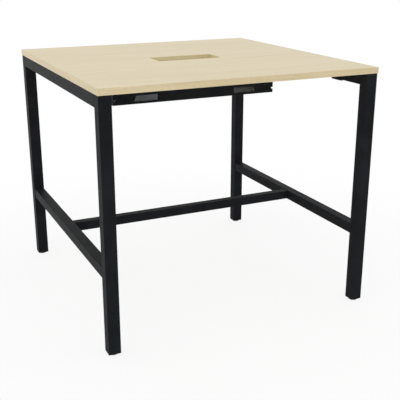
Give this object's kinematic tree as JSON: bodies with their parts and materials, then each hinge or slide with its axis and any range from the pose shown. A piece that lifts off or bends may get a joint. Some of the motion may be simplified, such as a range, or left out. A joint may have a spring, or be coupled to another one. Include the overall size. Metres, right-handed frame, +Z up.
{
  "type": "standing meeting table",
  "caption": "Standing-height square meeting table: laminate top with a cable cut-out and tray, on a square-tube frame with a low crossbar and screw levelling feet.",
  "frame": {"origin": "on the floor under the middle of the top, with the feet screwed fully in", "axes": "+X right along the front edge, +Y to the back, +Z up"},
  "size_m": [1.2, 1.2, 1.05],
  "materials": {
    "laminate": "satin melamine, pale maple",
    "edge_band": "satin edging, pale maple",
    "powder_coated_steel": "fine matt black powder coat",
    "coil_coated_steel": "matt black front coat outside, plain grey back coat inside",
    "zinc_plated_steel": "bright zinc plate",
    "black_plastic": "matt moulded"
  },
  "bodies": {
    "table": {"beam_back": "powder_coated_steel", "beam_bracket_back_left": "powder_coated_steel", "beam_bracket_back_right": "powder_coated_steel", "beam_bracket_front_left": "powder_coated_steel", "beam_bracket_front_right": "powder_coated_steel", "beam_front": "powder_coated_steel", "bracket_bolts": "zinc_plated_steel", "cable_tray": "coil_coated_steel", "crossbar": "powder_coated_steel", "crossbar_bolts": "zinc_plated_steel", "crossbar_spigot_left": "powder_coated_steel", "crossbar_spigot_right": "powder_coated_steel", "cutout_band_back": "edge_band", "cutout_band_front": "edge_band", "cutout_band_left": "edge_band", "cutout_band_right": "edge_band", "edge_band_back": "edge_band", "edge_band_front": "edge_band", "edge_band_left": "edge_band", "edge_band_right": "edge_band", "fixing_angles": "powder_coated_steel", "foot_rail_left": "powder_coated_steel", "foot_rail_right": "powder_coated_steel", "insert_bushes": "zinc_plated_steel", "leg_back_left": "powder_coated_steel", "leg_back_right": "powder_coated_steel", "leg_front_left": "powder_coated_steel", "leg_front_right": "powder_coated_steel", "leg_insert_back_left": "black_plastic", "leg_insert_back_right": "black_plastic", "leg_insert_front_left": "black_plastic", "leg_insert_front_right": "black_plastic", "rivet_nuts": "zinc_plated_steel", "tabletop_board": "laminate", "tabletop_screws": "zinc_plated_steel", "top_rail_left": "powder_coated_steel", "top_rail_right": "powder_coated_steel", "tray_end_plate_left": "powder_coated_steel", "tray_end_plate_right": "powder_coated_steel", "tray_screws": "zinc_plated_steel"},
    "foot_front_left": {"foot_pad_front_left": "black_plastic"},
    "stem_front_left": {"foot_stem_front_left": "zinc_plated_steel"},
    "foot_front_right": {"foot_pad_front_right": "black_plastic"},
    "stem_front_right": {"foot_stem_front_right": "zinc_plated_steel"},
    "foot_back_left": {"foot_pad_back_left": "black_plastic"},
    "stem_back_left": {"foot_stem_back_left": "zinc_plated_steel"},
    "foot_back_right": {"foot_pad_back_right": "black_plastic"},
    "stem_back_right": {"foot_stem_back_right": "zinc_plated_steel"}
  },
  "joints": [
    {"name": "foot_rise_front_left", "type": "slide", "parent": "table", "child": "foot_front_left", "axis": [0, 0, -1], "range_m": [0, 0.012]},
    {"name": "stem_turn_front_left", "type": "hinge", "parent": "foot_front_left", "child": "stem_front_left", "pos_m": [-0.573, -0.573, 0], "axis": [0, 0, -1], "range_deg": [0, 2880]},
    {"name": "foot_rise_front_right", "type": "slide", "parent": "table", "child": "foot_front_right", "axis": [0, 0, -1], "range_m": [0, 0.012]},
    {"name": "stem_turn_front_right", "type": "hinge", "parent": "foot_front_right", "child": "stem_front_right", "pos_m": [0.573, -0.573, 0], "axis": [0, 0, -1], "range_deg": [0, 2880]},
    {"name": "foot_rise_back_left", "type": "slide", "parent": "table", "child": "foot_back_left", "axis": [0, 0, -1], "range_m": [0, 0.012]},
    {"name": "stem_turn_back_left", "type": "hinge", "parent": "foot_back_left", "child": "stem_back_left", "pos_m": [-0.573, 0.573, 0], "axis": [0, 0, -1], "range_deg": [0, 2880]},
    {"name": "foot_rise_back_right", "type": "slide", "parent": "table", "child": "foot_back_right", "axis": [0, 0, -1], "range_m": [0, 0.012]},
    {"name": "stem_turn_back_right", "type": "hinge", "parent": "foot_back_right", "child": "stem_back_right", "pos_m": [0.573, 0.573, 0], "axis": [0, 0, -1], "range_deg": [0, 2880]}
  ],
  "couplings": [
    {"joint": "stem_turn_front_left", "follows": "foot_rise_front_left", "rad_per_m": 4188.8},
    {"joint": "stem_turn_front_right", "follows": "foot_rise_front_right", "rad_per_m": 4188.8},
    {"joint": "stem_turn_back_left", "follows": "foot_rise_back_left", "rad_per_m": 4188.8},
    {"joint": "stem_turn_back_right", "follows": "foot_rise_back_right", "rad_per_m": 4188.8}
  ]
}
